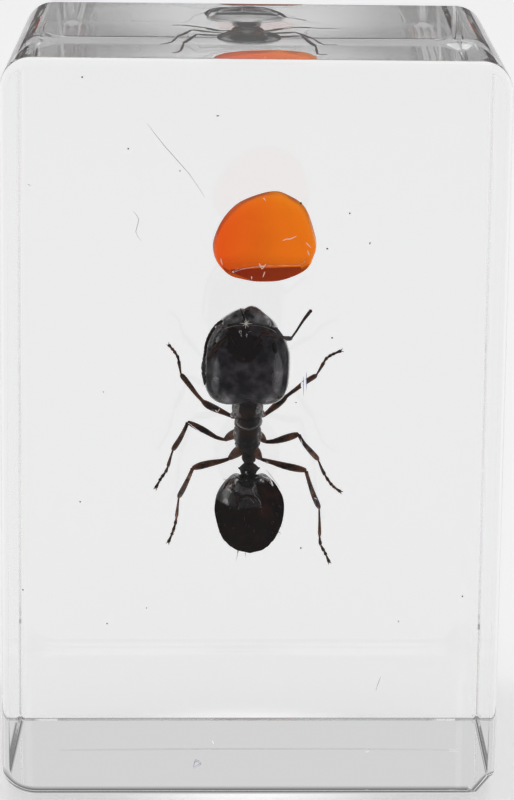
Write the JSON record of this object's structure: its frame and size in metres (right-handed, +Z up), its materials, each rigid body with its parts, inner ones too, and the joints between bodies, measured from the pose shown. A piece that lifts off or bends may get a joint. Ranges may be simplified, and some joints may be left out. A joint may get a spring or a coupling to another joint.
{
  "type": "insect in resin block",
  "caption": "Upright clear resin block with a large-headed black ant and a chip of amber cast inside, standing on its flat base.",
  "frame": {"origin": "middle of the base, at the level the block stands on", "axes": "+Z up the block's longest side, +X to the viewer's right across the front face, +Y from the front face to the back face"},
  "size_m": [0.029, 0.0216, 0.044],
  "materials": {
    "clear_resin": "polished",
    "ant_cuticle": "gloss",
    "amber": "gloss",
    "casting_marks": "matte"
  },
  "bodies": {
    "root": {"resin_block": "clear_resin"}
  },
  "joints": []
}
